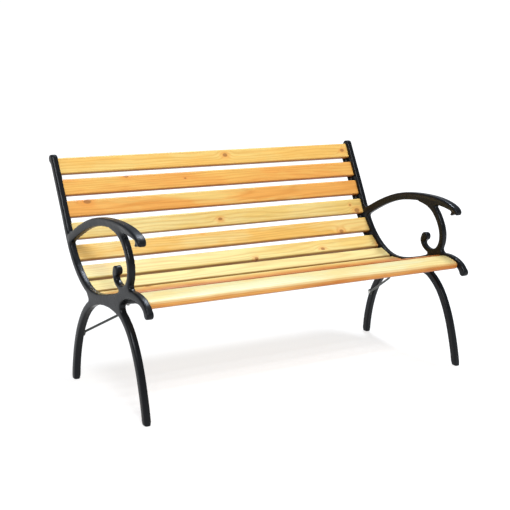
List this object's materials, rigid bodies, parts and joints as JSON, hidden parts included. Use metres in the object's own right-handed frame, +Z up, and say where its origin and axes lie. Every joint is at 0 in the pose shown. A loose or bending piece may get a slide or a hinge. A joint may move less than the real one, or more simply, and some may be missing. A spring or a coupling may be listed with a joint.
{
  "type": "garden bench",
  "caption": "Garden bench with cast-iron end frames, arched legs and scrolled arm loops, and varnished timber slats that curve from back to seat.",
  "frame": {"origin": "on the ground, below the middle of the bench's overall length and depth", "axes": "+X along the bench, towards the right-hand end as seen from the front; +Y from front to back; +Z up"},
  "size_m": [1.233, 0.709, 0.714],
  "materials": {
    "cast_iron": "satin black paint",
    "varnished_timber": "varnished, honey to pale yellow",
    "black_steel": "satin black paint",
    "zinc_steel": "zinc plated"
  },
  "bodies": {
    "root": {"back_slat_1": "varnished_timber", "back_slat_2": "varnished_timber", "back_slat_3": "varnished_timber", "back_slat_4": "varnished_timber", "back_slat_5": "varnished_timber", "back_slat_6": "varnished_timber", "front_nosing": "varnished_timber", "left_frame": "cast_iron", "left_screw_back_slat_1": "zinc_steel", "left_screw_back_slat_2": "zinc_steel", "left_screw_back_slat_3": "zinc_steel", "left_screw_back_slat_4": "zinc_steel", "left_screw_back_slat_5": "zinc_steel", "left_screw_back_slat_6": "zinc_steel", "left_screw_front_nosing": "zinc_steel", "left_screw_seat_slat_1": "zinc_steel", "left_screw_seat_slat_2": "zinc_steel", "left_screw_seat_slat_3": "zinc_steel", "left_screw_seat_slat_4": "zinc_steel", "left_screw_seat_slat_5": "zinc_steel", "left_stay": "zinc_steel", "left_stay_bolt": "zinc_steel", "left_stay_screw": "zinc_steel", "right_frame": "cast_iron", "right_screw_back_slat_1": "zinc_steel", "right_screw_back_slat_2": "zinc_steel", "right_screw_back_slat_3": "zinc_steel", "right_screw_back_slat_4": "zinc_steel", "right_screw_back_slat_5": "zinc_steel", "right_screw_back_slat_6": "zinc_steel", "right_screw_front_nosing": "zinc_steel", "right_screw_seat_slat_1": "zinc_steel", "right_screw_seat_slat_2": "zinc_steel", "right_screw_seat_slat_3": "zinc_steel", "right_screw_seat_slat_4": "zinc_steel", "right_screw_seat_slat_5": "zinc_steel", "right_stay": "zinc_steel", "right_stay_bolt": "zinc_steel", "right_stay_screw": "zinc_steel", "seat_slat_1": "varnished_timber", "seat_slat_2": "varnished_timber", "seat_slat_3": "varnished_timber", "seat_slat_4": "varnished_timber", "seat_slat_5": "varnished_timber"}
  },
  "joints": []
}
